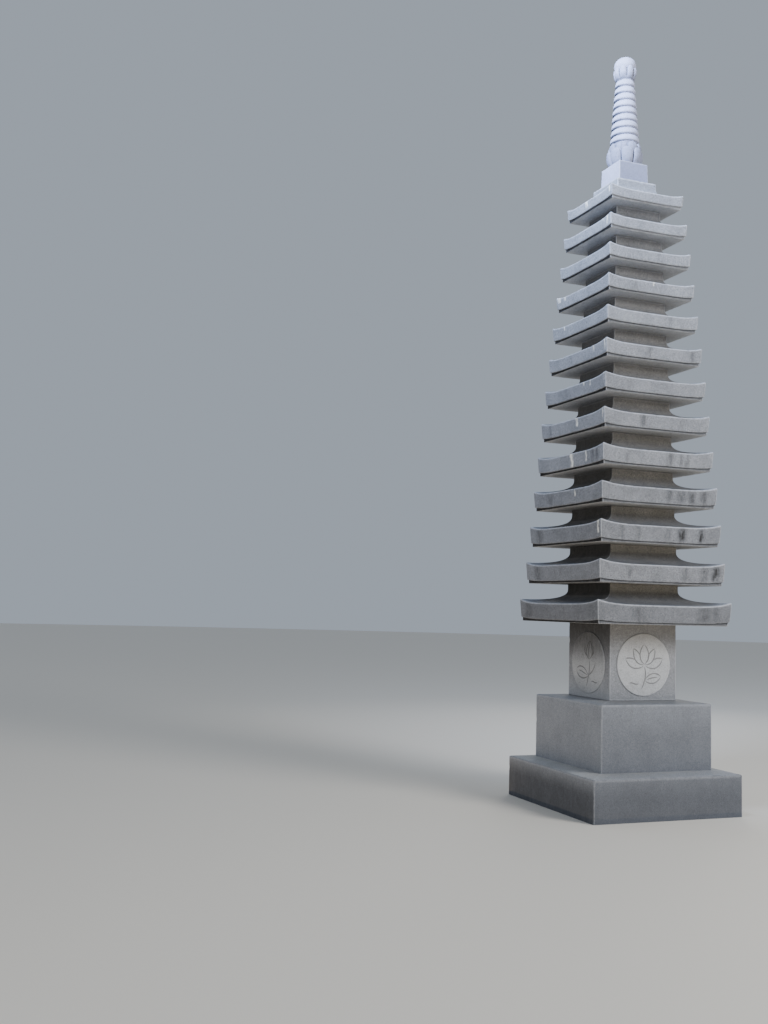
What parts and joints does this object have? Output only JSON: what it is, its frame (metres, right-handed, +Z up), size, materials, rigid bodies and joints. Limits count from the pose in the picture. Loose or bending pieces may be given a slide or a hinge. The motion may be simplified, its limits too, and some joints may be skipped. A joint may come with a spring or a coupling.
{
  "type": "stone pagoda",
  "caption": "Tall garden pagoda in grey granite: square base stones, a block with moon discs, stacked roof stones with upturned corners and a ringed finial.",
  "frame": {"origin": "centre of the plinth stone's underside, on the ground", "axes": "+Z up along the pagoda's axis, -Y out of the front face, +X to the right seen from the front"},
  "size_m": [1.3, 1.3, 6.15],
  "materials": {
    "granite_base": "dressed grey granite, smooth and matt",
    "granite_storey": "weathered grey granite with dark rain streaks",
    "granite_finial": "pale grey granite, turned and carved, matt"
  },
  "bodies": {
    "root": {"plinth_stone": "granite_base", "base_stone": "granite_base", "first_storey_block": "granite_storey", "roof_stone_01": "granite_storey", "roof_stone_02": "granite_storey", "roof_stone_03": "granite_storey", "roof_stone_04": "granite_storey", "roof_stone_05": "granite_storey", "roof_stone_06": "granite_storey", "roof_stone_07": "granite_storey", "roof_stone_08": "granite_storey", "roof_stone_09": "granite_storey", "roof_stone_10": "granite_storey", "roof_stone_11": "granite_storey", "roof_stone_12": "granite_storey", "roof_stone_13": "granite_storey", "finial_block": "granite_finial", "finial_lotus": "granite_finial", "finial_rings": "granite_finial", "finial_cup": "granite_finial", "finial_jewel": "granite_finial"}
  },
  "joints": []
}
